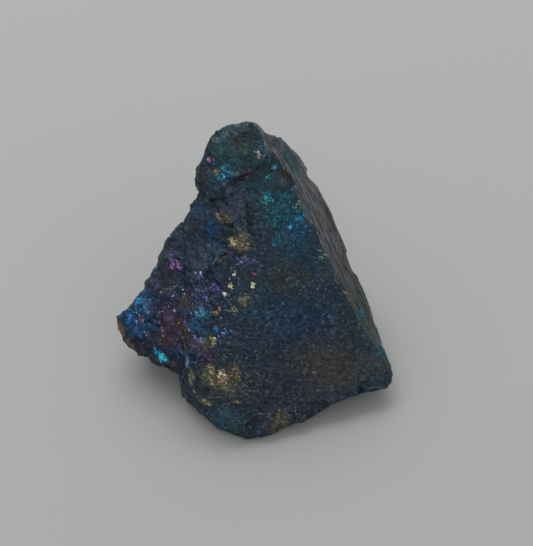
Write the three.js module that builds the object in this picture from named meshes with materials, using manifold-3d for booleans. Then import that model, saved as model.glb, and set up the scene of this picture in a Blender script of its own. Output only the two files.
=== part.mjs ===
// A rough hand specimen of massive chalcopyrite, tarnished to the iridescent "peacock ore" colours.
// It is one broken piece of ore: a leaning wedge with a blunt crown, one broad fracture face, a narrow
// striated side, a ragged left flank that runs out to a low lobe, and a flat break that it rests on.
// Millimetres. +X is to the right of the broad face, +Y is away from it, +Z is up, and the rest face is z = 0.
// The relief is drawn on the blocks in this order: lumps, grooves, crystals, pits, chips, rest face.

import * as THREE from "three";
import { ConvexGeometry } from "three/addons/geometries/ConvexGeometry.js";
import { MeshSurfaceSampler } from "three/addons/math/MeshSurfaceSampler.js";
import { mergeVertices } from "three/addons/utils/BufferGeometryUtils.js";
import Module from "manifold-3d";

const wasm = await Module();
wasm.setup();

// ---- Driving dimensions (mm) ---------------------------------------------------------------------

const SEED = 4127; // one seed fixes every scattered lump, crystal and pit

// Directions the broken faces look in, and the grain the relief follows on them.
const BROAD_NORMAL = [0.22, -0.72, 0.66];
const BROAD_GRAIN = [0.95, 0.05, -0.3];
const SIDE_NORMAL = [0.88, 0.07, 0.47];
const SIDE_GRAIN = [0.44, -0.53, -0.72];
const FLANK_GRAIN = [0.61, -0.66, -0.44];
const BACK_GRAIN = [0.7, 0.2, -0.7];

// The broken surface is a patchwork of small flat fractures. For each region: how large they are, how
// many times longer than wide along the grain, how far they step in and out, how steeply they tilt,
// and the longest triangle edge used to draw them.
const FRACTURES = {
  flank: { size: 2.1, stretch: 1.6, step: 0.26, tilt: 0.22, edge: 1.6, grain: FLANK_GRAIN },
  crown: { size: 2.0, stretch: 1.3, step: 0.22, tilt: 0.18, edge: 1.7, grain: BROAD_GRAIN },
  broad: { size: 2.6, stretch: 1.6, step: 0.1, tilt: 0.08, edge: 2.4, grain: BROAD_GRAIN },
  side: { size: 1.2, stretch: 4.0, step: 0.12, tilt: 0.08, edge: 2.8, grain: SIDE_GRAIN },
  back: { size: 3.4, stretch: 1.4, step: 0.3, tilt: 0.14, edge: 3.4, grain: BACK_GRAIN },
  rest: { size: 3.0, stretch: 1.0, step: 0.0, tilt: 0.0, edge: 8.0, grain: BACK_GRAIN },
};

const FRACTURE_SINK = 0.2; // part of its step that the patchwork lies inside the blocks on average

// Flat-topped lumps: how many, how long and wide, how far they stand proud, and how far they lean
// (degrees), so that a leaning lump shows one steep broken edge like a shingle.
const LUMPS = {
  flank: { count: 16, long: [2.0, 4.2], wide: [1.1, 2.0], proud: [0.15, 0.4], lean: 13, grain: FLANK_GRAIN },
  crown: { count: 4, long: [1.5, 3.0], wide: [1.0, 1.9], proud: [0.12, 0.32], lean: 10, grain: BROAD_GRAIN },
  broad: { count: 4, long: [2.2, 4.8], wide: [1.1, 2.2], proud: [0.05, 0.15], lean: 4, grain: BROAD_GRAIN },
  side: { count: 11, long: [4.5, 10.0], wide: [0.5, 1.0], proud: [0.08, 0.22], lean: 0, grain: SIDE_GRAIN },
  back: { count: 6, long: [2.5, 5.5], wide: [1.6, 3.2], proud: [0.15, 0.45], lean: 11, grain: BACK_GRAIN },
};
const LUMP_ROOT = 0.8; // how deep a lump is rooted in the stone
const LUMP_TOP = 0.72; // a lump's flat top is this much of its foot
const LUMP_SIDES = 5;
const EDGE_SLACK = 0.35; // a lump is left out where the stone falls away by more than this at its ends

// Small crystals with four flat faces, standing half out of the stone.
const CRYSTALS = {
  flank: { count: 32, radius: [0.35, 0.6] },
  crown: { count: 8, radius: [0.35, 0.65] },
  broad: { count: 6, radius: [0.25, 0.4] },
  back: { count: 6, radius: [0.45, 0.85] },
};
const CRYSTAL_SINK = 0.4; // part of its radius a crystal's middle lies under the surface

// Angular pits left where grains have fallen out.
const PITS = {
  flank: { count: 13, radius: [0.35, 0.75] },
  crown: { count: 4, radius: [0.3, 0.6] },
  broad: { count: 3, radius: [0.25, 0.45] },
  back: { count: 3, radius: [0.4, 0.8] },
};
const PIT_RISE = 0.2; // part of its radius a pit's middle lies above the surface

// Slivers left where pieces cross are closed up below these sizes.
const SHORTEST_EDGE = 0.12;
const THINNEST_TRIANGLE = 0.03;
const STEEPEST_TURN = 0.5; // a clean-up step may turn a triangle by up to 60 degrees

// Crevices and broken ledges, drawn in the front view as [x, z] corners from left to right. Each is
// a V with its foot pushed uphill by "under", a part of its width, so the upper lip hangs over.
const GROOVES = [
  // under the crown, from the ridge down to the left
  { path: [[-2.8, 25.0], [-1.5, 27.0], [0.2, 26.4], [1.6, 25.1]], width: 0.45, depth: 0.35, under: 0.3 },
  // across the crown
  { path: [[-6.3, 25.1], [-4.4, 25.4], [-2.6, 23.6]], width: 0.45, depth: 0.4, under: 0.5 },
  // the waist below the crown
  { path: [[-7.1, 22.2], [-6.3, 21.8], [-4.2, 22.9], [-1.4, 22.3]], width: 0.6, depth: 0.4, under: 0.2 },
  // the long ledge across the upper flank, and the shorter one below it
  { path: [[-8.7, 18.0], [-6.8, 18.4], [-3.8, 18.2], [-2.4, 17.5]], width: 0.6, depth: 0.7, under: 0.7 },
  { path: [[-4.7, 17.8], [-2.1, 16.9], [-0.7, 16.5]], width: 0.4, depth: 0.45, under: 0.5 },
  // ledges down the flank
  { path: [[-13.0, 12.0], [-10.2, 12.8]], width: 0.45, depth: 0.3, under: 0.4 },
  { path: [[-10.2, 14.3], [-7.4, 14.6]], width: 0.45, depth: 0.3, under: 0.4 },
  { path: [[-6.7, 15.8], [-3.1, 14.0]], width: 0.4, depth: 0.25, under: 0.3 },
  { path: [[-8.5, 12.3], [-5.4, 11.3]], width: 0.4, depth: 0.25, under: 0.3 },
  // across the lobe
  { path: [[-14.6, 9.4], [-10.6, 7.5]], width: 0.45, depth: 0.25, under: 0.3 },
  { path: [[-16.1, 6.4], [-12.4, 6.2]], width: 0.4, depth: 0.25, under: 0.3 },
  // the crevice between the lobe and the wedge
  { path: [[-9.5, 8.6], [-9.2, 7.4], [-9.5, 3.9]], width: 0.9, depth: 1.1, under: 0.0 },
  { path: [[-10.6, 7.5], [-8.0, 9.3], [-6.6, 9.1]], width: 0.5, depth: 0.35, under: 0.3 },
  // the foot of the broad face
  { path: [[-9.1, 3.7], [-6.6, 3.6]], width: 0.5, depth: 0.4, under: 0.4 },
  // the nick beside the heel
  { path: [[11.6, 4.0], [11.9, 2.9]], width: 0.6, depth: 0.5, under: 0.0 },
];
const GROOVE_RISE = 0.6; // how far a cutter stands above the surface, so it also cuts through lumps

// Flat chips knocked off the edges: where, which way the chip's face looks, and how deep it bites.
const CHIPS = [
  // along the ridge
  { at: [2.9, 9.6, 23.1], facing: [0.75, -0.3, 0.6], bite: 0.25, size: 2.0 },
  { at: [6.3, 5.9, 18.0], facing: [0.6, -0.5, 0.65], bite: 0.2, size: 2.6 },
  { at: [9.2, 2.3, 13.1], facing: [0.7, -0.35, 0.6], bite: 0.22, size: 2.2 },
  { at: [11.5, -0.7, 9.1], facing: [0.6, -0.45, 0.66], bite: 0.25, size: 2.4 },
  // along the lower edge of the broad face
  { at: [-0.4, -10.75, 2.2], facing: [-0.1, -0.9, 0.45], bite: 0.35, size: 2.6 },
  { at: [3.4, -9.8, 2.05], facing: [0.35, -0.85, 0.4], bite: 0.35, size: 2.2 },
  { at: [6.9, -8.1, 2.6], facing: [0.45, -0.85, 0.3], bite: 0.3, size: 2.0 },
  // along the far edge of the striated side
  { at: [6.1, 13.9, 18.9], facing: [0.7, 0.5, 0.5], bite: 0.3, size: 2.6 },
  { at: [10.6, 8.8, 9.4], facing: [0.8, 0.5, 0.35], bite: 0.35, size: 3.0 },
];

// ---- The stone's corners -----------------------------------------------------------------------

const BLOCKS = {
  // The wedge itself: the broad face, the striated side, the steep back and the rest face.
  core: [
    // top of the ridge, and the shoulder behind it
    [1.4, 11.3, 25.4],
    [0.2, 13.4, 28.0],
    [1.2, 13.8, 26.8],
    [2.2, 14.6, 25.3],
    [3.4, 14.3, 23.7],
    [4.4, 14.9, 21.6],
    // ridge between the broad face and the striated side, from the top down
    [4.7, 7.9, 20.6],
    [8.0, 3.9, 15.3],
    [10.4, 0.7, 10.9],
    [12.6, -2.1, 7.2],
    // far edge of the striated side, from the top down
    [7.7, 12.8, 16.0],
    [9.4, 10.4, 11.4],
    [11.9, 7.2, 7.3],
    [13.8, 3.8, 4.5],
    [14.6, 0.6, 3.6],
    // lower edge of the broad face, from the right to the toe and up its left end
    [12.0, -4.6, 4.6],
    [8.0, -7.5, 2.8],
    [5.7, -8.8, 2.4],
    [0.9, -10.8, 1.7],
    [-1.8, -10.7, 2.6],
    [-5.5, -9.6, 5.0],
    [-8.3, -8.0, 7.4],
    // swells of the broad face
    [-4.4, -8.0, 7.1],
    [-1.4, -4.7, 10.0],
    [8.6, -2.8, 8.6],
    [4.4, 0.0, 13.0],
    [0.7, 5.0, 19.4],
    // crease where the broad face turns into the left flank
    [-2.6, -0.7, 13.9],
    [-3.1, 2.9, 17.6],
    [-7.4, 9.1, 21.0],
    // left flank and the foot below it
    [-9.4, 6.3, 16.5],
    [-11.0, 3.4, 9.5],
    [-9.4, -2.2, 4.0],
    [-9.5, -6.2, 1.4],
    [-6.5, -9.0, 0.6],
    [-2.0, -10.9, 0.2],
    [0.9, -10.4, 0.3],
    // rest face
    [-1.6, -9.6, 0],
    [4.0, -7.4, 0],
    [8.4, -4.9, 0],
    [12.4, -2.6, 0],
    [13.4, 0.8, 0],
    [11.6, 6.4, 0],
    [7.4, 11.4, 0],
    [0.4, 14.2, 0],
    [-6.8, 12.4, 0],
    [-10.4, 8.2, 0],
    [-9.8, 2.0, 0],
    [-7.6, -3.6, 0],
    // back
    [0.9, 17.2, 15.5],
    [-5.6, 15.0, 19.0],
    [-4.4, 16.2, 8.5],
    [-9.6, 11.8, 9.0],
    [8.6, 12.9, 7.6],
    [13.2, 5.8, 3.2],
    [3.6, 16.4, 5.0],
    [1.8, 17.0, 9.0],
  ],
  // The blunt head, standing a little proud of the broad face.
  crown: [
    [-1.2, 12.8, 30.0],
    [-0.5, 12.5, 29.4],
    [0.2, 13.2, 28.2],
    [0.0, 11.6, 27.9],
    [0.7, 11.4, 26.7],
    [1.4, 11.2, 25.4],
    [-4.8, 13.0, 28.6],
    [-3.6, 13.1, 29.4],
    [-6.5, 11.8, 26.9],
    [-7.2, 11.0, 25.5],
    [-7.9, 10.3, 23.5],
    [-7.7, 9.7, 22.6],
    [-7.4, 8.9, 22.3],
    [-5.3, 7.5, 23.6],
    [-2.6, 8.5, 25.2],
    [0.0, 10.3, 26.4],
    [-3.5, 10.9, 28.0],
    [-0.7, 12.3, 28.4],
    [-6.6, 13.4, 20.5],
    [-1.5, 16.2, 23.5],
    [0.8, 14.6, 25.2],
  ],
  // The neck that joins the head to the broad face and the shelf.
  neck: [
    [-4.3, 8.1, 24.0],
    [-2.6, 8.8, 24.2],
    [0.0, 9.9, 24.4],
    [2.2, 10.5, 23.8],
    [2.1, 8.1, 21.6],
    [-1.4, 6.4, 21.4],
    [-4.2, 6.5, 22.0],
    [-6.3, 6.8, 22.0],
    [-7.2, 7.9, 22.3],
    [-6.5, 8.5, 23.2],
    [-4.0, 13.0, 19.0],
    [0.6, 12.0, 19.0],
  ],
  // A plate left standing on the upper flank, with a broken lower edge.
  shelf: [
    [-7.2, 9.1, 22.2],
    [-7.5, 8.6, 21.9],
    [-8.0, 8.0, 20.8],
    [-8.3, 7.4, 19.6],
    [-9.8, 7.2, 18.0],
    [-9.2, 6.0, 18.1],
    [-6.8, 5.0, 18.4],
    [-3.8, 3.4, 18.1],
    [-2.5, 2.4, 17.7],
    [-1.2, 4.0, 19.2],
    [-1.9, 6.7, 22.3],
    [-4.0, 7.1, 23.3],
    [-5.0, 10.0, 15.0],
    [-8.0, 9.6, 17.0],
  ],
  // The middle of the flank.
  flank: [
    [-11.3, 6.8, 16.4],
    [-11.5, 6.1, 15.1],
    [-12.5, 5.1, 13.0],
    [-13.4, 4.5, 11.5],
    [-12.0, 0.6, 10.2],
    [-9.3, -1.6, 9.8],
    [-4.6, -3.2, 10.7],
    [-2.9, -0.6, 13.6],
    [-3.2, 2.5, 16.9],
    [-6.7, 3.9, 17.0],
    [-9.4, 5.6, 16.9],
    [-9.7, 7.1, 17.9],
    [-9.3, 7.8, 18.8],
    [-14.3, 3.5, 10.3],
    [-10.4, 10.2, 12.0],
    [-12.2, 8.6, 8.0],
    [-7.0, 8.0, 5.0],
  ],
  // The low lobe at the left, undercut beneath.
  lobe: [
    [-14.6, 3.4, 10.2],
    [-15.8, 2.6, 8.8],
    [-17.6, 1.9, 7.6],
    [-17.8, 1.4, 6.4],
    [-17.3, 0.9, 4.9],
    [-16.6, 0.1, 3.8],
    [-15.6, -0.4, 3.5],
    [-13.1, -1.0, 3.9],
    [-9.6, -3.6, 3.2],
    [-12.4, 0.4, 10.0],
    [-9.4, -1.6, 9.7],
    [-6.8, -3.9, 9.4],
    [-8.6, -4.0, 7.6],
    [-9.4, -4.2, 6.0],
    [-15.7, 5.3, 4.9],
    [-14.0, 7.9, 4.4],
    [-11.8, 10.4, 4.8],
    [-14.4, 4.4, 2.0],
    [-12.4, 8.2, 1.4],
    [-9.8, 9.6, 0.4],
    [-9.6, 1.0, 1.2],
  ],
  // The rounded heel at the right end of the broad face.
  heel: [
    [11.8, -6.1, 3.1],
    [13.5, -5.7, 2.7],
    [14.9, -5.1, 2.6],
    [15.5, -4.5, 2.9],
    [15.7, -3.7, 3.4],
    [14.8, -1.7, 5.1],
    [11.0, -0.1, 9.9],
    [13.6, 1.4, 5.2],
    [8.2, -3.4, 8.4],
    [14.4, 0.5, 3.8],
    [8.0, -7.5, 2.8],
    [10.2, -6.6, 3.0],
    [13.2, 0.4, 1.0],
    [12.2, -2.4, 0.6],
  ],
};

// ---- Solids and meshes ---------------------------------------------------------------------------

function toSolid(geometry) {
  const bare = geometry.clone();
  bare.deleteAttribute("normal");
  bare.deleteAttribute("uv");
  const merged = mergeVertices(bare, 1e-4);
  const mesh = new wasm.Mesh({
    numProp: 3,
    vertProperties: merged.attributes.position.array,
    triVerts: new Uint32Array(merged.index.array),
  });
  return new wasm.Manifold(mesh);
}

// The triangles of the largest connected skin, so small sealed gaps under the lumps are filled in.
function outerSkin({ triVerts, numVert }) {
  const parent = Uint32Array.from({ length: numVert }, (_, vertex) => vertex);
  const rootOf = (vertex) => {
    let root = vertex;
    while (parent[root] !== root) root = parent[root];
    parent[vertex] = root;
    return root;
  };
  for (let corner = 0; corner < triVerts.length; corner += 3) {
    parent[rootOf(triVerts[corner])] = rootOf(triVerts[corner + 1]);
    parent[rootOf(triVerts[corner + 1])] = rootOf(triVerts[corner + 2]);
  }
  const skins = new Map();
  for (let corner = 0; corner < triVerts.length; corner += 3) {
    const root = rootOf(triVerts[corner]);
    if (!skins.has(root)) skins.set(root, []);
    skins.get(root).push(triVerts[corner], triVerts[corner + 1], triVerts[corner + 2]);
  }
  return [...skins.values()].reduce((best, skin) => (skin.length > best.length ? skin : best));
}

function toGeometry(solid) {
  const mesh = solid.getMesh();
  const geometry = new THREE.BufferGeometry();
  geometry.setAttribute("position", new THREE.BufferAttribute(mesh.vertProperties, 3));
  geometry.setIndex(outerSkin(mesh));
  const flat = geometry.toNonIndexed();
  flat.computeVertexNormals();
  return flat;
}

const vector = (values) => new THREE.Vector3(...values);

const hull = (points) => toSolid(new ConvexGeometry(points));

// ---- Clean-up of slivers -------------------------------------------------------------------------

// A closed skin whose edges can be closed up or turned without opening it.
class Skin {
  constructor(solid) {
    const mesh = solid.getMesh();
    const values = mesh.vertProperties;
    this.points = Array.from({ length: mesh.numVert }, (_, i) => new THREE.Vector3().fromArray(values, 3 * i));
    this.faces = [];
    this.around = this.points.map(() => new Set());
    const corners = outerSkin(mesh);
    for (let first = 0; first < corners.length; first += 3) this.addFace(corners.slice(first, first + 3));
  }

  addFace(face) {
    face.forEach((corner) => this.around[corner].add(this.faces.length));
    this.faces.push(face);
  }

  dropFace(id) {
    this.faces[id].forEach((corner) => this.around[corner].delete(id));
    this.faces[id] = null;
  }

  neighbours(corner) {
    const found = new Set([...this.around[corner]].flatMap((id) => this.faces[id]));
    found.delete(corner);
    return found;
  }

  // Cross product of two sides: it looks outward and is twice the triangle's area long.
  crossOf([a, b, c]) {
    const [first, second, third] = [a, b, c].map((corner) => this.points[corner]);
    return new THREE.Vector3().crossVectors(second.clone().sub(first), third.clone().sub(first));
  }

  turnsOver(before, after) {
    const [old, fresh] = [this.crossOf(before), this.crossOf(after)];
    if (fresh.length() < 1e-5) return true;
    return old.length() > 1e-3 && old.normalize().dot(fresh.normalize()) < STEEPEST_TURN;
  }

  // Moves one corner onto another and drops the two triangles between them.
  closeEdge(kept, lost) {
    const nearLost = this.neighbours(lost);
    const shared = [...this.neighbours(kept)].filter((corner) => nearLost.has(corner));
    if (shared.length !== 2) return false;
    const touched = [...this.around[lost]].map((id) => ({ id, face: this.faces[id] }));
    const stays = touched.filter(({ face }) => !face.includes(kept));
    const moved = stays.map(({ face }) => face.map((corner) => (corner === lost ? kept : corner)));
    if (stays.some(({ face }, index) => this.turnsOver(face, moved[index]))) return false;
    touched.forEach(({ id }) => this.dropFace(id));
    moved.forEach((face) => this.addFace(face));
    return true;
  }

  // Swaps the edge between two triangles for the other diagonal of their four corners.
  turnEdge(id, start, end, tip) {
    const across = [...this.around[start]].find((other) => other !== id && this.faces[other].includes(end));
    const far = this.faces[across].find((corner) => corner !== start && corner !== end);
    if (far === tip || this.neighbours(tip).has(far)) return false;
    const fresh = [[start, far, tip], [far, end, tip]];
    if (fresh.some((face) => this.turnsOver(this.faces[across], face))) return false;
    this.dropFace(id);
    this.dropFace(across);
    fresh.forEach((face) => this.addFace(face));
    return true;
  }

  tidyFace(id) {
    const face = this.faces[id];
    const edges = face.map((start, index) => {
      const end = face[(index + 1) % 3];
      return { start, end, tip: face[(index + 2) % 3], length: this.points[start].distanceTo(this.points[end]) };
    });
    edges.sort((one, other) => one.length - other.length);
    const [short, , long] = edges;
    if (short.length < SHORTEST_EDGE) {
      return this.closeEdge(short.start, short.end) || this.closeEdge(short.end, short.start);
    }
    const height = this.crossOf(face).length() / long.length;
    return height < THINNEST_TRIANGLE && this.turnEdge(id, long.start, long.end, long.tip);
  }

  tidy() {
    for (let round = 0; round < 6; round += 1) {
      const count = this.faces.length;
      for (let id = 0; id < count; id += 1) if (this.faces[id]) this.tidyFace(id);
    }
    return this;
  }

  toGeometry() {
    const corners = this.faces.filter(Boolean).flat().map((corner) => this.points[corner]);
    return new THREE.BufferGeometry().setFromPoints(corners);
  }
}

const tidied = (solid) => toSolid(new Skin(solid).tidy().toGeometry());

// ---- Scattering ----------------------------------------------------------------------------------

THREE.MathUtils.seededRandom(SEED);
const random = () => THREE.MathUtils.seededRandom();
const between = ([low, high]) => low + (high - low) * random();

const broadNormal = vector(BROAD_NORMAL).normalize();
const sideNormal = vector(SIDE_NORMAL).normalize();

// Names the part of the stone that a point belongs to.
function regionOf(point, normal) {
  if (point.z < 0.6) return "rest";
  if (normal.dot(sideNormal) > 0.86) return "side";
  if (normal.y > 0.35 || normal.z < -0.3) return "back";
  if (point.z > 22.5) return "crown";
  if (normal.dot(broadNormal) > 0.9) return "broad";
  return "flank";
}

// Frame with its third axis along the normal and its first along the grain.
function frameAt(point, normal, grain) {
  const across = new THREE.Vector3().crossVectors(normal, grain).normalize();
  const along = new THREE.Vector3().crossVectors(across, normal);
  return new THREE.Matrix4().makeBasis(along, across, normal).setPosition(point);
}

function randomTurn() {
  const turn = new THREE.Euler(between([0, 6.28]), between([0, 6.28]), between([0, 6.28]));
  return new THREE.Matrix4().makeRotationFromEuler(turn);
}

// Calls "make" at random places on the solid until every region has its number of places.
function scatter(solid, table, make) {
  const surface = new THREE.Mesh(toGeometry(solid));
  const sampler = new MeshSurfaceSampler(surface).setRandomGenerator(random).build();
  const left = Object.fromEntries(Object.entries(table).map(([region, row]) => [region, row.count]));
  const made = [];
  for (let tries = 0; tries < 6000; tries += 1) {
    const point = new THREE.Vector3();
    const normal = new THREE.Vector3();
    sampler.sample(point, normal);
    normal.normalize();
    const region = regionOf(point, normal);
    if (!left[region]) continue;
    const piece = make(point, normal, table[region], surface);
    if (!piece) continue;
    made.push(piece);
    left[region] -= 1;
  }
  return made;
}

// ---- Fractured surface ---------------------------------------------------------------------------

// Repeatable random number from 0 to 1 for a place in a lattice.
function latticeRandom(i, j, k, salt) {
  const wave = Math.sin(i * 127.1 + j * 311.7 + k * 74.7 + salt * 53.3 + SEED) * 43758.5453;
  return wave - Math.floor(wave);
}

// Height of the patchwork of flat fractures at a point: every point belongs to its nearest middle,
// and every middle has its own step and its own tilt.
function fractureHeight(point, { size, stretch, step, tilt, grain }) {
  const along = vector(grain).normalize();
  const squeezed = point.clone().addScaledVector(along, point.dot(along) * (1 / stretch - 1)).divideScalar(size);
  const cell = squeezed.clone().floor();
  let nearest = Infinity;
  let height = 0;
  for (let i = cell.x - 1; i <= cell.x + 1; i += 1) {
    for (let j = cell.y - 1; j <= cell.y + 1; j += 1) {
      for (let k = cell.z - 1; k <= cell.z + 1; k += 1) {
        const [x, y, z] = [0, 1, 2].map((salt) => latticeRandom(i, j, k, salt));
        const offset = squeezed.clone().sub(new THREE.Vector3(i + x, j + y, k + z));
        if (offset.lengthSq() > nearest) continue;
        nearest = offset.lengthSq();
        const [a, b, c, d] = [3, 4, 5, 6].map((salt) => 2 * latticeRandom(i, j, k, salt) - 1);
        height = (a - FRACTURE_SINK) * step + (b * offset.x + c * offset.y + d * offset.z) * size * tilt;
      }
    }
  }
  return height;
}

// Halves every triangle across its longest edge until no edge is longer than its region allows.
function subdivide(surface) {
  const corners = surface.attributes.position;
  const waiting = [];
  for (let first = 0; first < corners.count; first += 3) {
    const triangle = [0, 1, 2].map((index) => new THREE.Vector3().fromBufferAttribute(corners, first + index));
    const normal = new THREE.Triangle(...triangle).getNormal(new THREE.Vector3());
    waiting.push({ triangle, normal });
  }
  const done = [];
  while (waiting.length) {
    const { triangle, normal } = waiting.pop();
    const edges = triangle.map((start, index) => {
      const end = triangle[(index + 1) % 3];
      const half = start.clone().add(end).multiplyScalar(0.5);
      return { index, half, excess: start.distanceTo(end) / edgeLimit(half) };
    });
    const longest = edges.reduce((best, edge) => (edge.excess > best.excess ? edge : best));
    if (longest.excess <= 1) {
      done.push(...triangle);
      continue;
    }
    const [start, end, opposite] = [0, 1, 2].map((turn) => triangle[(longest.index + turn) % 3]);
    waiting.push({ triangle: [start, longest.half, opposite], normal });
    waiting.push({ triangle: [longest.half, end, opposite], normal });
  }
  return new THREE.BufferGeometry().setFromPoints(done);
}

// Longest edge allowed at a place, kept apart from any normal so both sides of an edge agree.
function edgeLimit(place) {
  if (place.z < 0.3) return FRACTURES.rest.edge;
  if (place.y > 8 + 0.35 * place.z) return FRACTURES.back.edge;
  if (place.z > 22) return FRACTURES.crown.edge;
  if (place.x > -4 + 0.08 * place.z) return FRACTURES.broad.edge;
  return FRACTURES.flank.edge;
}

// Moves every corner of the subdivided blocks in or out by its region's fracture height.
function fracture(solid) {
  const surface = mergeVertices(subdivide(toGeometry(solid)), 1e-4);
  surface.computeVertexNormals();
  const { position, normal } = surface.attributes;
  for (let index = 0; index < position.count; index += 1) {
    const point = new THREE.Vector3().fromBufferAttribute(position, index);
    const outward = new THREE.Vector3().fromBufferAttribute(normal, index);
    const row = FRACTURES[regionOf(point, outward)];
    point.addScaledVector(outward, fractureHeight(point, row));
    position.setXYZ(index, ...point);
  }
  return toSolid(surface);
}

// ---- Kinds of relief -----------------------------------------------------------------------------

// True where the stone's surface lies close under both ends of a lump.
function isBacked(surface, frame, reach) {
  const down = new THREE.Vector3().setFromMatrixColumn(frame, 2).negate();
  return [-1, 1].every((end) => {
    const above = new THREE.Vector3((end * reach) / 2, 0, 2).applyMatrix4(frame);
    const hits = new THREE.Raycaster(above, down).intersectObject(surface);
    return hits.length > 0 && Math.abs(hits[0].distance - 2) < EDGE_SLACK;
  });
}

function lump(point, normal, row, surface) {
  const long = between(row.long);
  const wide = between(row.wide);
  const proud = between(row.proud);
  const frame = frameAt(point, normal, vector(row.grain));
  if (!isBacked(surface, frame, long)) return null;
  const lean = THREE.MathUtils.degToRad(row.lean) * (0.5 + random());
  frame.multiply(new THREE.Matrix4().makeRotationX(lean));
  const points = [];
  for (let side = 0; side < LUMP_SIDES; side += 1) {
    const angle = (2 * Math.PI * (side + 0.7 * random())) / LUMP_SIDES;
    const x = (Math.cos(angle) * long) / 2;
    const y = (Math.sin(angle) * wide) / 2;
    const top = LUMP_TOP * between([0.85, 1.15]);
    points.push(new THREE.Vector3(x, y, -LUMP_ROOT));
    points.push(new THREE.Vector3(x * top, y * top, proud * between([0.75, 1.1])));
  }
  return hull(points.map((corner) => corner.applyMatrix4(frame)));
}

function crystal(point, normal, row) {
  const radius = between(row.radius);
  const middle = point.clone().addScaledVector(normal, -CRYSTAL_SINK * radius);
  const shape = new THREE.TetrahedronGeometry(radius);
  shape.applyMatrix4(randomTurn().setPosition(middle));
  return toSolid(shape);
}

function pit(point, normal, row) {
  const radius = between(row.radius);
  const middle = point.clone().addScaledVector(normal, PIT_RISE * radius);
  const shape = new THREE.OctahedronGeometry(radius);
  shape.scale(between([0.8, 1.5]), between([0.7, 1.0]), between([0.7, 1.0]));
  shape.applyMatrix4(randomTurn().setPosition(middle));
  return toSolid(shape);
}

// Lays a front-view path on the stone and returns V-shaped cutters, one between each two corners.
function groove(surface, { path, width, depth, under }) {
  const away = new THREE.Vector3(0, 1, 0);
  const marks = path.map(([x, z]) => {
    const eye = new THREE.Vector3(x, -40, z);
    const hit = new THREE.Raycaster(eye, away).intersectObject(surface)[0];
    return { point: hit.point, normal: hit.face.normal };
  });
  const cutters = [];
  for (let index = 1; index < marks.length; index += 1) {
    const ends = [marks[index - 1], marks[index]];
    const along = ends[1].point.clone().sub(ends[0].point).normalize();
    const normal = ends[0].normal.clone().add(ends[1].normal).normalize();
    const uphill = new THREE.Vector3().crossVectors(normal, along).normalize();
    const corners = ends.flatMap(({ point }, end) => {
      const stretched = point.clone().addScaledVector(along, (end - 0.5) * 0.3);
      return [
        [-0.5, GROOVE_RISE],
        [0.5, GROOVE_RISE],
        [-0.5, 0],
        [0.5, 0],
        [under, -depth],
      ].map(([side, height]) => stretched.clone().addScaledVector(uphill, side * width).addScaledVector(normal, height));
    });
    cutters.push(hull(corners));
  }
  return cutters;
}

function chip({ at, facing, bite, size }) {
  const frame = frameAt(vector(at), vector(facing).normalize(), vector(SIDE_GRAIN));
  const shape = new THREE.BoxGeometry(size, size, size);
  shape.translate(0, 0, size / 2 - bite);
  return toSolid(shape.applyMatrix4(frame));
}

// ---- The stone -----------------------------------------------------------------------------------

const joined = (solids) => wasm.Manifold.union(solids);

const bare = tidied(joined(Object.values(BLOCKS).map((corners) => hull(corners.map(vector)))));
const bareSurface = new THREE.Mesh(toGeometry(bare));

let stone = fracture(bare);
stone = joined([stone, ...scatter(bare, LUMPS, lump)]);
stone = stone.subtract(joined(GROOVES.flatMap((row) => groove(bareSurface, row))));
stone = joined([stone, ...scatter(stone, CRYSTALS, crystal)]);
stone = stone.subtract(joined(scatter(stone, PITS, pit)));
stone = stone.subtract(joined(CHIPS.map(chip)));

// Everything below the rest face is broken away level.
const ground = new THREE.BoxGeometry(80, 80, 20).translate(0, 0, -10);
stone = tidied(stone.subtract(toSolid(ground)));

const shape = toGeometry(stone);
shape.computeBoundingBox();
const middle = shape.boundingBox.getCenter(new THREE.Vector3());
shape.translate(-middle.x, -middle.y, 0);

const material = new THREE.MeshStandardMaterial({ color: 0x2b3646, roughness: 0.5, metalness: 0.7 });
const mesh = new THREE.Mesh(shape, material);
mesh.name = "chalcopyrite_stone";

const specimen = new THREE.Group();
specimen.add(mesh);

export default specimen;
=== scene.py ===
"""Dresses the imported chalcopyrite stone: broken relief, iridescent tarnish, a table and soft light."""

import math
from functools import partial

import bpy
import numpy as np
from bpy.props import FloatProperty, FloatVectorProperty, PointerProperty
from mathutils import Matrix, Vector


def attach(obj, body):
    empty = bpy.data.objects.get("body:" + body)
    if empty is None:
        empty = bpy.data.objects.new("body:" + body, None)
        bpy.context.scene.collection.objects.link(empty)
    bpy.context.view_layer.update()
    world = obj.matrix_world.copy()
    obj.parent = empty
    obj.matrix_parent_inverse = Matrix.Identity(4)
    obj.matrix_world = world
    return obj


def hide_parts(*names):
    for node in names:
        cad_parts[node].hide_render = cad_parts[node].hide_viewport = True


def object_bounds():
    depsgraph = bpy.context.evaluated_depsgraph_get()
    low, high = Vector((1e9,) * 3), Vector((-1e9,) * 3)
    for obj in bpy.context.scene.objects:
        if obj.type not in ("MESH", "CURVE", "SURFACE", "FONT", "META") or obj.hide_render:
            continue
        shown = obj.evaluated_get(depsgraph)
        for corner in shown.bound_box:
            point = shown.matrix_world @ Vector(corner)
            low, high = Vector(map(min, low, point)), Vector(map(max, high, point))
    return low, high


bl_info = {
    "name": "Tarnished chalcopyrite stone",
    "version": (1, 0, 0),
    "blender": (4, 5, 0),
    "location": "View3D > Sidebar > Ore",
    "description": "Builds the surface of a tarnished chalcopyrite hand specimen around its solid",
    "category": "Object",
}

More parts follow.
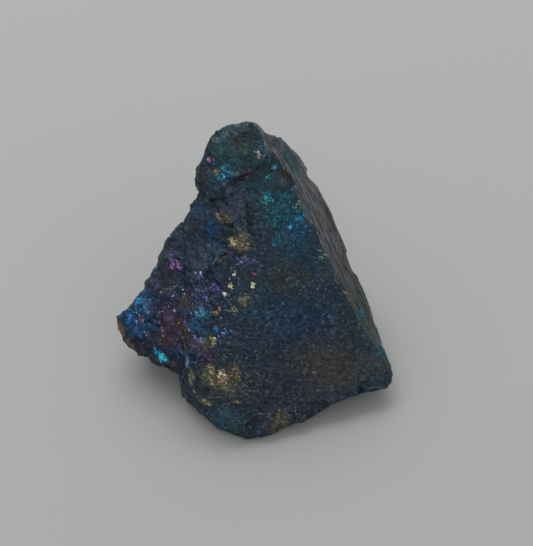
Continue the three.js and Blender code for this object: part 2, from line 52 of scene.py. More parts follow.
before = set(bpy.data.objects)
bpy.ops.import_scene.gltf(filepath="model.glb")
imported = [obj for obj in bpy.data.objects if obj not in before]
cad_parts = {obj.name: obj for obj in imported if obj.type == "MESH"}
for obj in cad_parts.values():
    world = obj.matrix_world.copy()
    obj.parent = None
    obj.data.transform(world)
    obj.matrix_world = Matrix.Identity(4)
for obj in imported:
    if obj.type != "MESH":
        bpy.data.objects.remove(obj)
CAD_LOW, CAD_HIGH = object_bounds()
NODE = "chalcopyrite_stone"
MM = 0.001

# Directions on the stone, which leans back: the way each face looks, and the way its grain runs.
BROAD_NORMAL = (0.22, -0.72, 0.66)
BROAD_GRAIN = (0.95, 0.05, -0.3)
SIDE_NORMAL = (0.88, 0.07, 0.47)
SIDE_GRAIN = (0.44, -0.53, -0.72)
FLANK_GRAIN = (0.61, -0.66, -0.44)

# Wear. A round of it moves every point of the mesh towards its neighbours.
WEAR_STEPS = (0.55, -0.57)  # each round goes forth and a little further back, so nothing shrinks
WEAR_ROUNDS = 5
EVENING_ROUNDS = 9  # more of it on the two plane faces and the other calm parts
REGAIN_ROUNDS = 10  # how widely the height that corners lost is given back
REGION_ROUNDS = 24  # how widely normals are blurred where the faces are told apart
NORMAL_ROUNDS = 2  # and where the surface is moved along them

# The crown's left corner and the crease below the crown: where they are, and in millimetres from there
# how far a change is felt in full and where it ends.
CORNER_MIDDLE = (-3.4, 8.8, 28.2)
CORNER_RAISE = (-0.2, 0.1, 0.38)
CORNER_FULL, CORNER_END = 0.6, 2.4
CREASE_MIDDLE = (-0.6, 6.4, 24.6)
CREASE_FULL, CREASE_END = 2.6, 4.2
CREASE_ROUNDS = 60

# Clefts: how many rounds of blurring they are measured against, the depth up to which they are filled,
# and the part of it that is.
CLEFT_ROUNDS = 50
CLEFT_DEPTH = 0.7
CLEFT_FILL = 0.85

# Hollows between the flakes, which are darkened with painted shade: rounds of blurring, and the depth at
# which that shade is full.
HOLLOW_ROUNDS = 12
HOLLOW_DEPTH = 0.12

RELIEF_SINK = 0.02  # the relief lies this much below the worn surface on average
BOX_MARGIN = 0.001  # the surface stays this far inside the solid's box


# ---- Repeatable noise over many points at once ---------------------------------------------------


def lattice_random(cells, seed):
    """One repeatable random number from 0 to 1 for each row of whole numbers."""
    mixed = cells[..., 0] * 73856093 ^ cells[..., 1] * 19349663 ^ cells[..., 2] * 83492791
    mixed = (mixed + seed * 2654435761) & 0xFFFFFFFF
    for _ in range(2):
        mixed = ((mixed >> 16 ^ mixed) * 0x45D9F3B) & 0xFFFFFFFF
    return ((mixed >> 16 ^ mixed) & 0xFFFFFFFF) / 0xFFFFFFFF


def soft_noise(points, size, seed):
    """Smooth noise from -1 to 1 whose lumps are about size millimetres across."""
    scaled = points / size
    cells = np.floor(scaled).astype(np.int64)
    part = scaled - cells
    part = part * part * (3 - 2 * part)
    total = np.zeros(len(points))
    for corner in np.ndindex(2, 2, 2):
        weight = np.prod(np.where(corner, part, 1 - part), axis=1)
        total += weight * lattice_random(cells + np.array(corner), seed)
    return 2 * total - 1


def squeezed(points, grain, stretch):
    """Points with their distances along the grain divided by stretch."""
    along = unit(grain)
    return points + np.outer(points @ along, along) * (1 / stretch - 1)


def flakes(points, size, seed, grain, stretch):
    """Height from about -1 to 1 of a patchwork of flat flakes, each with its own step and tilt."""
    scaled = squeezed(points, grain, stretch) / size
    cells = np.floor(scaled).astype(np.int64)
    nearest = np.full(len(points), np.inf)
    height = np.zeros(len(points))
    for step in np.ndindex(3, 3, 3):
        cell = cells + np.array(step) - 1
        middle = cell + np.stack([lattice_random(cell, seed + k) for k in range(3)], axis=1)
        offset = scaled - middle
        distance = (offset**2).sum(axis=1)
        tilt = np.stack([lattice_random(cell, seed + k) for k in range(3, 6)], axis=1) * 2 - 1
        flake = 0.5 * (lattice_random(cell, seed + 6) * 2 - 1) + (tilt * offset).sum(axis=1)
        closer = distance < nearest
        nearest[closer] = distance[closer]
        height[closer] = flake[closer]
    return height


def fade(values, low, high):
    """Smooth step from 0 at low to 1 at high."""
    part = np.clip((values - low) / (high - low), 0, 1)
    return part * part * (3 - 2 * part)


def fade_out(values, full, end):
    """Smooth step from 1 at full down to 0 at end."""
    return fade(-values, -end, -full)


# ---- The stone's shape ---------------------------------------------------------------------------


def remeshed_copy(source, name, voxel):
    """A copy of a solid's mesh, evenly re-meshed so that fine relief can be cut into it."""
    copy = bpy.data.objects.new(name, source.data.copy())
    bpy.context.scene.collection.objects.link(copy)
    copy.data.materials.clear()
    even = copy.modifiers.new("even mesh", "REMESH")
    even.mode = "VOXEL"
    even.voxel_size = voxel
    bpy.context.view_layer.update()
    graph = bpy.context.evaluated_depsgraph_get()
    mesh = bpy.data.meshes.new_from_object(copy.evaluated_get(graph))
    copy.modifiers.clear()
    copy.data = mesh
    return copy


def read_vectors(layer, name):
    """All of a layer's vectors, one in each row."""
    values = np.zeros(len(layer) * 3, np.float32)
    layer.foreach_get(name, values)
    return values.reshape(-1, 3).astype(float)


class Neighbours:
    """Averages values over the points that share an edge."""

    def __init__(self, mesh):
        edges = np.zeros(len(mesh.edges) * 2, np.int32)
        mesh.edges.foreach_get("vertices", edges)
        start, end = edges.reshape(-1, 2).T
        self.start = np.concatenate([start, end])
        self.end = np.concatenate([end, start])
        self.size = len(mesh.vertices)
        self.count = np.bincount(self.start, minlength=self.size)

    def mean(self, values):
        """The average over each point's neighbours."""
        columns = [np.bincount(self.start, column[self.end], self.size) / self.count for column in values.T]
        return np.stack(columns, axis=1)

    def spread(self, values, rounds):
        """Blurs a value over the surface."""
        for _ in range(rounds):
            values = 0.5 * values + 0.5 * self.mean(values)
        return values

    def relaxed(self, points, share, rounds):
        """Smooths points without shrinking the shape, in proportion to each point's share."""
        for _ in range(rounds):
            for strength in WEAR_STEPS:
                points = points + strength * share[:, None] * (self.mean(points) - points)
        return points


def unit(vector):
    """A vector's direction, one long."""
    return np.array(vector) / np.linalg.norm(vector)


def unit_rows(vectors):
    """Each row's direction, one long."""
    return vectors / np.linalg.norm(vectors, axis=1, keepdims=True)


def along_rows(vectors, normals):
    """How long each vector is along its own normal."""
    return (vectors * normals).sum(axis=1)


def regions(points, normals, near):
    """Shares from 0 to 1: the striated side, how calm and how ragged the surface is, and the rest face. Each
    is known by where its blurred normals look, and by how many millimetres it lies across and up."""
    wide_normals = unit_rows(near.spread(normals, REGION_ROUNDS))
    across, _, up = points.T
    side = fade(wide_normals @ unit(SIDE_NORMAL), 0.82, 0.9)
    broad = fade(wide_normals @ unit(BROAD_NORMAL), 0.88, 0.96) * (1 - side)
    broad *= fade(across, -5.5, -1.0) * fade_out(up, 21.0, 25.0)
    rest = fade_out(up, 0.1, 0.3) * fade(-wide_normals[:, 2], 0.75, 0.9)
    right_end = fade(across + 0.4 * up, 9.0, 12.0)
    lower_edge = fade(across, -8.0, -4.0) * fade_out(up, 4.0, 7.0)
    crown = 0.55 * fade(up, 21.5, 24.5)
    calm = np.maximum.reduce([side, broad, right_end, lower_edge, crown])
    ragged = (1 - np.maximum(side, broad)) * (1 - 0.7 * calm)
    return {"side": side, "calm": calm, "ragged": ragged, "rest": rest}


def relief(points, where):
    """Height in millimetres of the broken surface at every point. A height stands before each pattern."""
    ragged = 0.16 * flakes(points, size=1.9, seed=11, grain=FLANK_GRAIN, stretch=1.9)
    ragged += 0.07 * flakes(points, size=0.8, seed=31, grain=FLANK_GRAIN, stretch=1.5)
    ragged += 0.03 * soft_noise(points, size=0.42, seed=51)
    broad = 0.04 * flakes(points, size=2.4, seed=71, grain=BROAD_GRAIN, stretch=2.2)
    broad += 0.04 * flakes(points, size=0.8, seed=91, grain=BROAD_GRAIN, stretch=1.5)
    broad += 0.035 * soft_noise(squeezed(points, BROAD_GRAIN, 2.5), size=0.42, seed=111)
    long_points = squeezed(points, SIDE_GRAIN, 10.0)
    side = 0.06 * soft_noise(long_points, size=0.6, seed=131)
    side = side + 0.05 * soft_noise(long_points, size=0.36, seed=151)
    side += 0.05 * flakes(points, size=1.3, seed=171, grain=SIDE_GRAIN, stretch=5.0)
    swell = 0.06 * soft_noise(points, size=3.6, seed=191)
    even = 1 - where["ragged"] - where["side"]
    height = where["ragged"] * ragged + even * broad + where["side"] * side + swell
    return (height - RELIEF_SINK) * (1 - where["rest"])


def place_points(mesh, points):
    """Moves a mesh's points to places in millimetres."""
    mesh.vertices.foreach_set("co", (points * MM).astype(np.float32).ravel())
    mesh.update()


def new_normals(mesh, points, near):
    """Moves the mesh's points, and gives its slightly blurred normals there."""
    place_points(mesh, points)
    return unit_rows(near.spread(read_vectors(mesh.vertex_normals, "vector"), NORMAL_ROUNDS))


def depth_below(points, normals, near, rounds):
    """How far each point lies below the blurred surface round it, in millimetres."""
    return along_rows(near.spread(points, rounds) - points, normals)


def nearness_to(points, middle, full, end):
    """1 within one distance of a place, fading to 0 at another."""
    return fade_out(np.linalg.norm(points - middle, axis=1), full, end)


def store(mesh, name, values):
    """Keeps a number on each point, for the material to read."""
    attribute = mesh.attributes.new(name, "FLOAT", "POINT")
    attribute.data.foreach_set("value", values.astype(np.float32))


def worn(mesh, points, where, near):
    """Wears slivers off the ragged parts and evens out the plane faces, but lets corners keep their reach."""
    loose = 1 - where["rest"]
    sharp = points
    points = near.relaxed(points, loose, WEAR_ROUNDS)
    points = near.relaxed(points, loose * where["calm"], EVENING_ROUNDS)
    normals = new_normals(mesh, points, near)
    lost = near.spread(along_rows(sharp - points, normals)[:, None], REGAIN_ROUNDS)
    return points + normals * lost


def crown_shaped(mesh, points, near):
    """Squares the crown's left corner, and makes the crease below the crown a gentle one."""
    corner = nearness_to(points, CORNER_MIDDLE, CORNER_FULL, CORNER_END)
    points = points + corner[:, None] * np.array(CORNER_RAISE)
    normals = new_normals(mesh, points, near)
    crease = nearness_to(points, CREASE_MIDDLE, CREASE_FULL, CREASE_END)
    for _ in range(CREASE_ROUNDS):
        rise = along_rows(near.mean(points) - points, normals)
        points = points + normals * (crease * np.maximum(rise, 0))[:, None]
    return points


def clefts_filled(mesh, points, where, near):
    """Fills clefts in part, so that they are shallow."""
    normals = new_normals(mesh, points, near)
    depth = np.clip(depth_below(points, normals, near, CLEFT_ROUNDS), 0, CLEFT_DEPTH)
    cleft = depth * (1 - where["rest"])
    return points + normals * (CLEFT_FILL * cleft)[:, None]


def carve_stone(settings):
    """The stone's surface, with the shares that its material needs stored on its points."""
    piece = remeshed_copy(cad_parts[NODE], "tarnished_stone", settings.mesh_size)
    mesh = piece.data
    near = Neighbours(mesh)
    points = read_vectors(mesh.vertices, "co") / MM
    where = regions(points, read_vectors(mesh.vertex_normals, "vector"), near)
    points = worn(mesh, points, where, near)
    points = crown_shaped(mesh, points, near)
    points = clefts_filled(mesh, points, where, near)

    normals = new_normals(mesh, points, near)
    points = points + normals * (relief(points, where) * settings.relief)[:, None]
    dip = depth_below(points, normals, near, HOLLOW_ROUNDS)
    low, high = np.array(CAD_LOW) / MM, np.array(CAD_HIGH) / MM
    place_points(mesh, np.clip(points, low + BOX_MARGIN, high - BOX_MARGIN))
    mesh.shade_smooth()
    store(mesh, "striated_side", where["side"])
    store(mesh, "ragged", where["ragged"])
    # Painted shade: how deep each point lies below the surface round it, by which the material darkens its
    # colour.
    store(mesh, "hollow_shade", np.clip(dip / HOLLOW_DEPTH, -1, 1))
    return piece


# ---- Materials -----------------------------------------------------------------------------------


def linear(colour):
    """An sRGB hex colour as linear red, green, blue and 1."""
    parts = [int(colour[k : k + 2], 16) / 255 for k in (1, 3, 5)]
    return [p / 12.92 if p <= 0.04045 else ((p + 0.055) / 1.055) ** 2.4 for p in parts] + [1.0]


def add_node(tree, kind, inputs=(), **settings):
    """Adds a node with its settings and gives its outputs. Its inputs come in order, or by name or number:
    another node's output is linked, and anything else is set."""
    node = tree.nodes.new("ShaderNode" + kind)
    for name, value in settings.items():
        setattr(node, name, value)
    if not isinstance(inputs, dict):
        inputs = dict(enumerate(inputs))
    for name, value in inputs.items():
        if isinstance(value, bpy.types.NodeSocket):
            tree.links.new(value, node.inputs[name])
        else:
            node.inputs[name].default_value = value
    return node.outputs


def new_material(name):
    """An empty material, its node tree, and the function that adds a node there."""
    material = bpy.data.materials.new(name)
    material.use_nodes = True
    material.node_tree.nodes.clear()
    return material, partial(add_node, material.node_tree)


# Films and clusters cover in full up to one part of their reach and end at another. Up to this reach in
# millimetres they are small ones, whose edges wander less.
FILM_FULL, FILM_END = 0.5, 1.2
SMALL_REACH = 1.65

# Films of tarnish on the stone: name, middle and reach in millimetres, colour, and how much they hide.
FILMS = (
    ("crown teal grey", (-1.8, 8.0, 27.8), 5.0, "#3C5259", 0.95),
    ("crown bronze", (-1.9, 7.8, 27.6), 2.2, "#4C5048", 0.8),
    ("crown teal", (-3.1, 6.7, 26.4), 2.4, "#345B64", 0.7),
    ("teal at the crown's left", (-4.2, 8.1, 27.6), 1.6, "#3A5A62", 0.6),
    ("blue grey beside the crown", (1.1, 8.1, 27.0), 1.2, "#38687A", 0.7),
    ("left side of the crown", (-6.2, 5.6, 24.4), 2.4, "#444D56", 0.75),
    ("blue on the head", (-4.4, 5.2, 24.5), 1.1, "#2A5E7C", 0.6),
    ("below the crown", (-1.4, 5.8, 23.8), 3.0, "#395461", 0.85),
    ("pink under the crown", (-0.9, 6.2, 24.7), 0.9, "#5E4C5C", 0.6),
    ("dark waist", (-2.4, 3.9, 22.2), 2.2, "#4F5769", 0.85),
    ("olive in the waist", (-0.1, 4.1, 22.2), 0.9, "#4E4E46", 0.6),
    ("brown by the ridge", (3.4, 6.7, 23.3), 1.5, "#4C4B47", 0.85),
    ("upper teal", (1.6, 4.6, 22.4), 3.2, "#2F4D56", 0.8),
    ("teal by the ridge", (4.0, 3.4, 20.4), 3.0, "#27454C", 0.8),
    ("upper blue", (5.2, 2.6, 18.8), 2.2, "#2A4A60", 0.75),
    ("middle blue", (5.0, 0.4, 16.8), 3.2, "#2A495C", 0.75),
    ("left middle blue", (2.6, -4.0, 12.8), 3.2, "#2A3F53", 0.75),
    ("olive band", (3.8, -1.7, 15.0), 2.2, "#404236", 0.85),
    ("olive band right", (6.0, -1.2, 14.9), 1.4, "#3E423B", 0.7),
    ("right slate", (9.6, -1.6, 11.8), 3.2, "#32424E", 0.7),
    ("lower navy", (6.2, -5.5, 10.0), 4.4, "#283E5A", 0.8),
    ("lower bronze", (9.0, -8.1, 6.4), 4.4, "#4E4A46", 0.85),
    ("lower bronze left", (4.8, -8.3, 7.6), 2.8, "#484648", 0.7),
    ("heel teal", (14.6, -6.2, 5.0), 3.0, "#454E50", 0.9),
    ("toe slate", (1.4, -11.5, 4.6), 5.0, "#3C404D", 0.8),
    ("toe facet blue", (-3.6, -13.3, 2.7), 2.6, "#3C5C70", 0.95),
    ("upper flank blue", (-7.0, 1.4, 17.2), 3.4, "#475B71", 0.7),
    ("shelf blue", (-5.6, 3.4, 20.6), 2.0, "#3A5062", 0.75),
    ("navy on the shelf", (-5.0, 2.2, 19.5), 1.5, "#30527A", 0.8),
    ("navy on the shelf's top", (-6.5, 3.7, 20.6), 1.2, "#33547A", 0.65),
    ("plum on the shelf", (-6.5, 2.9, 19.9), 1.0, "#4A4250", 0.6),
    ("brown at the shelf's edge", (-8.0, 3.0, 18.5), 0.9, "#5A5244", 0.65),
    ("blue below the ledge", (-3.8, 0.6, 18.1), 1.0, "#35587C", 0.7),
    ("violet strip below the ledge", (-2.8, 0.0, 17.9), 0.8, "#4C4874", 0.75),
    ("slate violet on the flank", (-8.8, 2.1, 16.2), 2.2, "#4C4C6A", 0.5),
    ("plum by the gold grains", (-5.3, -2.9, 15.0), 1.2, "#524258", 0.6),
    ("violet under the waist", (-2.8, 3.1, 21.8), 1.4, "#49526C", 0.7),
    ("flank slate", (-8.0, -0.6, 14.9), 3.0, "#434C62", 0.45),
    ("flank violet", (-5.6, -3.4, 14.3), 2.0, "#464662", 0.5),
    ("flank plum", (-10.6, -2.4, 10.8), 2.8, "#4B3C58", 0.5),
    ("plum above", (-10.4, 0.2, 12.8), 1.7, "#4C415A", 0.45),
    ("lower plum", (-9.6, -4.6, 9.4), 1.9, "#4D3D4E", 0.6),
    ("crimson", (-10.3, -5.4, 7.6), 1.1, "#5E3A4C", 0.6),
    ("flank brown", (-8.1, -2.8, 12.0), 1.0, "#565142", 0.8),
    ("lower flank brown", (-7.9, -6.0, 10.0), 1.3, "#544A40", 0.8),
    ("violet on the shoulder", (-6.1, -8.6, 9.9), 1.2, "#48415B", 0.7),
    ("teal under the shoulder", (-7.4, -8.2, 9.2), 0.9, "#30566A", 0.7),
    ("flank teal", (-6.0, -5.2, 12.5), 1.5, "#2D5668", 0.7),
    ("flank blue", (-12.8, -0.7, 10.1), 1.5, "#2B6086", 0.7),
    ("lobe blue", (-14.2, -2.4, 8.4), 2.6, "#205789", 0.6),
    ("low blue on the lobe", (-13.8, -4.0, 7.2), 1.4, "#305A8A", 0.75),
    ("violet under the lobe", (-12.4, -4.6, 7.0), 1.3, "#4A4264", 0.7),
    ("lobe rim brass", (-16.4, -1.6, 5.8), 1.4, "#8A764A", 0.85),
    ("lobe rim bronze", (-15.2, -4.0, 5.0), 1.1, "#7A6354", 0.7),
    ("brass band", (-3.3, 2.6, 20.9), 1.0, "#6A6048", 0.75),
    ("brass ledge", (-1.8, 0.5, 18.9), 1.5, "#6A644E", 0.85),
    ("brass line", (-3.5, -0.4, 17.6), 0.6, "#565248", 0.7),
    ("brass streak", (-1.1, -4.1, 14.1), 0.8, "#5E5A48", 0.8),
    ("gold shoulder", (-5.4, -7.6, 10.7), 1.0, "#6E684E", 0.7),
    ("dark gold field", (-3.4, -10.8, 7.2), 2.6, "#54524B", 0.9),
    ("beige at the left end", (-7.3, -10.0, 7.0), 0.9, "#8E866E", 0.85),
    ("brass on the field", (-5.3, -10.4, 8.0), 1.2, "#767058", 0.5),
    ("brass on the lower edge", (3.1, -13.0, 1.8), 2.0, "#5A5646", 0.7),
    ("plum on the back", (5.0, 11.0, 9.0), 5.5, "#463F54", 0.7),
    ("blue on the back", (-3.0, 11.0, 15.0), 5.0, "#2E4C64", 0.7),
    ("bronze on the back", (-4.0, 11.0, 5.0), 4.5, "#4C4A48", 0.7),
    ("violet at the back of the flank", (-9.5, 6.0, 9.0), 4.0, "#45415C", 0.65),
)

# Films on the striated side, which otherwise carries a painted grey sheen.
SIDE_FILMS = (
    ("dark slate beside the crown", (2.2, 11.2, 26.4), 2.2, "#3C4C50", 0.85),
    ("dark strip behind the ridge", (4.6, 9.6, 23.2), 1.9, "#34474D", 0.85),
    ("teal beside the crown", (3.7, 10.0, 24.1), 0.8, "#1F5F68", 0.9),
    ("teal further down", (4.4, 9.4, 23.0), 0.8, "#1F5F68", 0.85),
    ("teal behind the ridge", (5.1, 8.8, 22.0), 0.75, "#1F5F68", 0.8),
    ("dark lower side", (12.8, -1.6, 8.4), 3.8, "#404848", 0.85),
    ("bronze on the lower side", (11.6, -1.6, 10.8), 1.0, "#5A5048", 0.8),
    ("teal low on the side", (12.8, -1.6, 8.6), 0.8, "#266472", 0.7),
    ("teal at the heel", (15.0, -5.0, 6.0), 1.7, "#30545E", 0.8),
)

# Colours of the small broken faces on the ragged flank: name, colour, and the running share up to it.
# They show round this middle, out to this reach in millimetres, and hide this share of what is under them.
FACES = (
    ("plum", "#503A56", 0.66),
    ("slate", "#3E4A60", 0.46),
    ("blue", "#285680", 0.28),
    ("brown", "#54493C", 0.1),
)
FACES_MIDDLE = (-9.4, -3.6, 10.6)
FACES_REACH = 7.5
FACES_SHARE = 0.9

# Colours of single grains that stand out anywhere, part grain colour and part painted sparkle: name, colour,
# and the running share up to it.
STRAY_GRAINS = (
    ("slate", "#74848C", 0.1),
    ("teal", "#44868C", 0.08),
    ("blue", "#48709C", 0.045),
    ("violet", "#6C6888", 0.025),
    ("bronze", "#8C7C60", 0.012),
)

# Bright grains, partly the grains' own colour and partly painted glints: name, middle and reach in
# millimetres, colour, share of grains that show, and their kind.
SMALL, LARGE, STROKE = 0, 1, 2
GRAINS_AND_GLINTS = (
    ("teal strokes", (3.4, 3.8, 20.8), 3.2, "#287887", 0.42, STROKE),
    ("bright teal strokes", (1.6, 4.4, 22.2), 0.7, "#36C0C9", 0.65, STROKE),
    ("teal strokes on the crown", (-2.8, 6.8, 26.4), 2.4, "#3A8890", 0.1, STROKE),
    ("cyan strokes by the ridge", (5.5, 3.6, 19.7), 0.9, "#30A8E4", 0.55, STROKE),
    ("blue strokes by the ridge", (5.2, 2.8, 19.0), 1.6, "#2C7799", 0.36, STROKE),
    ("blue strokes in the middle", (4.0, 1.6, 18.2), 2.4, "#2A7398", 0.24, STROKE),
    ("blue grain by the middle", (4.2, 2.6, 19.2), 0.35, "#58A8F0", 0.9, LARGE),
    ("cyan ring", (2.4, 0.9, 18.3), 0.42, "#30B4E0", 0.8, SMALL),
    ("faint blue strokes", (4.6, -1.6, 15.4), 5.4, "#346480", 0.09, STROKE),
    ("faint teal strokes", (0.8, -4.8, 12.8), 2.2, "#2E88A0", 0.16, STROKE),
    ("teal strokes in the middle", (3.6, -4.6, 12.4), 2.2, "#2E7890", 0.12, STROKE),
    ("pale grains by the ridge", (4.9, 4.6, 20.8), 0.6, "#8CA48C", 0.45, SMALL),
    ("pale grains down the ridge", (8.2, 1.2, 16.2), 0.9, "#8CA08C", 0.22, SMALL),
    ("amber grains", (-3.9, 2.7, 20.9), 0.6, "#A8987C", 0.5, SMALL),
    ("amber grains to the right", (-2.9, 2.6, 20.9), 0.65, "#AC9670", 0.45, SMALL),
    ("brass strokes on the ledge", (-1.7, 0.4, 18.9), 1.5, "#A89C74", 0.34, STROKE),
    ("pale brass on the ledge", (-2.4, 0.7, 19.0), 0.7, "#F2E8B8", 0.5, SMALL),
    ("brown grains on the ledge", (-1.0, 0.2, 18.7), 0.7, "#A89480", 0.35, SMALL),
    ("pale specks under the ledge", (-1.6, -1.0, 17.2), 1.0, "#A8A084", 0.1, SMALL),
    ("pale gold grain", (-2.4, -2.0, 16.1), 0.4, "#FFF6CC", 1.0, LARGE),
    ("second pale gold grain", (-2.9, -2.9, 15.2), 0.4, "#FFF6CC", 1.0, LARGE),
    ("third pale gold grain", (-3.4, -3.4, 14.5), 0.3, "#FFF6CC", 1.0, LARGE),
    ("fourth pale gold grain", (-0.3, -2.8, 15.1), 0.34, "#FFF6CC", 1.0, LARGE),
    ("brass strokes down the face", (-1.1, -4.1, 14.1), 0.8, "#9C9270", 0.35, STROKE),
    ("red grain", (0.2, -1.8, 16.0), 0.28, "#A86058", 0.9, SMALL),
    ("violet glints", (-1.6, -0.7, 17.3), 0.6, "#9490DC", 0.45, SMALL),
    ("violet glints to the right", (-0.6, -0.8, 17.1), 0.6, "#8070B4", 0.4, SMALL),
    ("amber spot", (-4.4, -5.1, 13.2), 0.45, "#C0A070", 0.7, SMALL),
    ("gold spot", (-2.4, -4.9, 13.4), 0.5, "#BCA880", 0.5, SMALL),
    ("gold spot on the shoulder", (-4.8, -7.6, 10.8), 0.62, "#E8DCA4", 0.75, SMALL),
    ("beige on the shoulder", (-6.8, -7.6, 10.5), 0.6, "#A89A78", 0.6, LARGE),
    ("beige at the left end", (-7.3, -10.0, 7.0), 0.9, "#B8AC8C", 0.5, LARGE),
    ("brass grains on the field", (-5.4, -10.4, 8.1), 1.0, "#B8AA80", 0.45, SMALL),
    ("olive strokes on the field", (-3.2, -10.9, 7.3), 2.2, "#A09470", 0.42, STROKE),
    ("pale gold on the field", (-3.7, -10.4, 7.9), 0.75, "#FFF2C0", 0.55, SMALL),
    ("pink on the field", (-3.6, -10.6, 7.6), 0.5, "#F0A8B0", 0.35, SMALL),
    ("red at the field's edge", (-4.6, -9.4, 9.1), 0.5, "#A05C64", 0.5, SMALL),
    ("faint gold strokes", (-1.2, -10.8, 6.8), 2.4, "#8C826C", 0.1, STROKE),
    ("gold at the foot", (-5.7, -12.0, 4.7), 0.8, "#D8CCA0", 0.5, SMALL),
    ("brass at the foot", (-6.4, -11.6, 5.0), 1.2, "#8C7C58", 0.3, STROKE),
    ("pale grain at the foot", (-7.2, -10.9, 5.4), 0.3, "#FFE8C8", 1.0, SMALL),
    ("brass strokes on the lower edge", (3.1, -13.0, 1.8), 2.2, "#9C9070", 0.28, STROKE),
    ("bronze strokes on the lower face", (9.0, -8.0, 6.2), 4.2, "#7C7264", 0.1, STROKE),
    ("magenta grains", (-9.4, 0.8, 15.0), 0.8, "#B07CC8", 0.45, LARGE),
    ("violet grains by the magenta", (-8.8, 0.2, 14.9), 0.6, "#9480CC", 0.5, SMALL),
    ("pale blue grains", (-6.6, -1.3, 15.6), 0.8, "#94B0DC", 0.22, SMALL),
    ("violet grains on the flank", (-7.0, -3.4, 12.6), 4.4, "#7A6CC4", 0.028, LARGE),
    ("blue grains on the flank", (-6.6, -4.2, 12.2), 4.4, "#447EB4", 0.05, SMALL),
    # Painted sparkle: the white grains on the flank.
    ("white grains on the flank", (-8.0, -3.6, 12.0), 4.4, "#E0ECFA", 0.022, SMALL),
    ("teal grains on the flank", (-6.3, -5.2, 12.7), 1.0, "#2FA0B8", 0.45, STROKE),
    ("crimson grains", (-10.3, -5.4, 7.6), 0.9, "#84506A", 0.18, LARGE),
    ("red grain on the lobe", (-13.5, -2.3, 8.7), 0.45, "#A85868", 0.7, SMALL),
    ("red grain under the lobe", (-9.3, -7.1, 5.7), 0.5, "#8C4458", 0.6, SMALL),
    # Painted highlights: these two cyan facets are coloured as bright as a reflected light.
    ("bright cyan facet", (-11.0, -6.2, 5.6), 0.62, "#40EAFF", 1.0, LARGE),
    ("bright cyan facet above", (-11.6, -5.3, 6.1), 0.5, "#20C4F8", 0.9, LARGE),
    ("lobe cyan grains", (-14.0, -0.9, 9.7), 1.0, "#28C0FF", 0.6, LARGE),
    ("lobe blue grains", (-14.6, -2.0, 8.1), 1.1, "#2890E4", 0.45, LARGE),
    ("low blue grains", (-13.8, -4.0, 7.2), 1.0, "#3074C4", 0.4, LARGE),
    ("pale sparks on the lobe", (-12.6, -3.0, 8.6), 3.0, "#B8C8E0", 0.05, SMALL),
    ("pale blue facet", (-7.9, -8.5, 7.9), 0.7, "#90C0FF", 0.85, LARGE),
    ("blue spot", (-4.5, -6.5, 11.8), 0.4, "#4CA8F0", 0.9, SMALL),
    ("second blue spot", (-3.5, -6.8, 11.4), 0.5, "#80A0FA", 0.7, SMALL),
    ("third blue spot", (-6.0, -7.5, 10.8), 0.4, "#70A8F0", 0.9, SMALL),
    ("pink grains under the crown", (-0.9, 6.2, 24.7), 0.7, "#B47894", 0.45, SMALL),
    ("pale grain by the ridge", (0.5, 7.3, 26.8), 0.45, "#C4CCBC", 0.7, SMALL),
    ("pink grain by the ridge", (1.3, 7.2, 26.6), 0.35, "#D88878", 0.8, SMALL),
    ("pink grains on the crown", (-5.0, 7.4, 25.9), 0.5, "#D8A8E4", 0.8, LARGE),
    ("blue grains on the crown", (-3.3, 5.8, 25.4), 0.7, "#3CA8E8", 0.5, SMALL),
    ("gold grain on the crown", (-4.4, 8.6, 27.7), 0.35, "#B4A878", 0.6, SMALL),
    ("second gold grain on the crown", (-4.3, 6.0, 25.1), 0.4, "#A89C74", 0.7, SMALL),
    ("blue grain by the ridge", (2.4, 7.0, 24.8), 0.34, "#60C8F0", 0.9, SMALL),
    ("teal grain under the ridge", (1.4, 6.1, 24.0), 0.32, "#48C0B4", 0.6, SMALL),
    ("teal strokes under the ridge", (1.6, 6.2, 24.4), 1.8, "#2C8490", 0.18, STROKE),
    ("teal strokes beside the crown", (4.0, 9.8, 23.6), 1.0, "#2A9098", 0.4, STROKE),
    ("teal strokes behind the ridge", (5.3, 8.7, 21.8), 1.0, "#2A9098", 0.4, STROKE),
    ("teal strokes low on the side", (12.8, -1.6, 8.6), 1.2, "#2A8CA4", 0.4, STROKE),
    ("teal strokes at the heel", (15.0, -5.0, 5.6), 1.6, "#2A7C94", 0.25, STROKE),
    ("teal strokes on the back", (-3.0, 11.0, 15.0), 4.5, "#2E7484", 0.14, STROKE),
    ("gold grains on the back", (-4.0, 11.0, 5.0), 3.5, "#A89C78", 0.06, SMALL),
    ("blue grains on the back", (5.0, 11.0, 9.0), 4.5, "#4478B4", 0.07, SMALL),
    ("violet grains behind the flank", (-9.5, 6.0, 9.0), 3.5, "#7A6CC0", 0.07, LARGE),
)

# Sizes of the patterns in the material, in millimetres. Grains finer than about 0.2 mm wouldn't show, so
# the finest ones are drawn that size.
CLOUD = 5.0
SMALL_GRAIN = 0.21
LARGE_GRAIN = 0.38
BROKEN_FACE = 1.5
RIPPLE = 0.26
STREAK = 0.3
SPECK_PATCH = 1.4

HALF = (0.5, 0.5, 0.5)
BLACK = "#000000"


